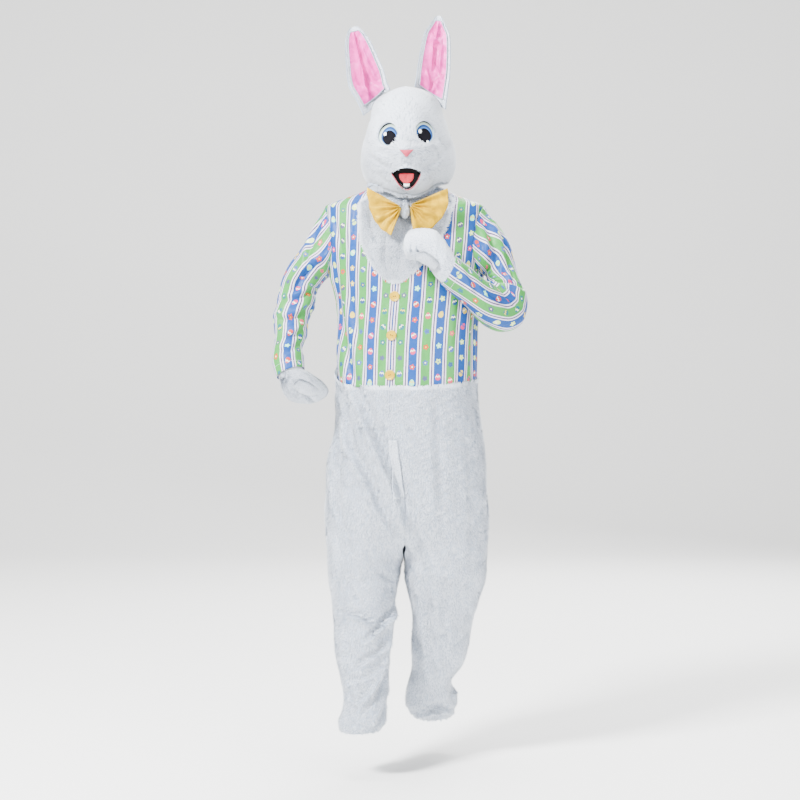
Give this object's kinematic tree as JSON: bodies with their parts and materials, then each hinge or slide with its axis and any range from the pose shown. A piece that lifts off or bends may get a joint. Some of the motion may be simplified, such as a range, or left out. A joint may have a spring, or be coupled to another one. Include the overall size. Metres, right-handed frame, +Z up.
{
  "type": "easter bunny costume",
  "caption": "Full-body worn rabbit costume: striped satin bodice and sleeves, white plush chest, low-crotched trousers, mitts and a hollow rabbit head with ears and a bow.",
  "frame": {"origin": "the base of the wearer's neck, midway between the shoulders, inside the neckline", "axes": "+Z up, -Y the way the costume faces, +X the wearer's left"},
  "size_m": [0.693, 0.4204, 1.9523],
  "materials": {
    "striped_satin": "printed satin, stripes of blue and green with thin white and purple lines and small eggs and flowers",
    "white_plush": "short cool-white pile",
    "pink_satin": "crushed pink satin",
    "yellow_satin": "glossy golden satin",
    "yellow_plastic": "moulded, glossy",
    "printed_mesh": "printed see-through mesh",
    "pink_velvet": "short flock",
    "black_lining": "matt dark lining",
    "coral_felt": "felt",
    "white_felt": "felt"
  },
  "bodies": {
    "root": {"bib": "white_plush", "bodice_back": "striped_satin", "bodice_front_left": "striped_satin", "bodice_front_right": "striped_satin", "bow_knot": "white_plush", "bow_wing_left": "yellow_satin", "bow_wing_right": "yellow_satin", "button_1": "yellow_plastic", "button_2": "yellow_plastic", "button_3": "yellow_plastic", "ear_back_left": "white_plush", "ear_back_right": "white_plush", "ear_front_left": "pink_satin", "ear_front_right": "pink_satin", "eye_left": "printed_mesh", "eye_right": "printed_mesh", "fly_placket": "white_plush", "head_back": "white_plush", "head_front": "white_plush", "mitt_left_back": "white_plush", "mitt_left_palm": "white_plush", "mitt_left_thumb": "white_plush", "mitt_right_back": "white_plush", "mitt_right_palm": "white_plush", "mitt_right_thumb": "white_plush", "mouth_lining": "black_lining", "nose": "pink_velvet", "sleeve_left": "striped_satin", "sleeve_right": "striped_satin", "tongue": "coral_felt", "tooth": "white_felt", "trouser_back_left": "white_plush", "trouser_back_right": "white_plush", "trouser_front_left": "white_plush", "trouser_front_right": "white_plush"}
  },
  "joints": []
}
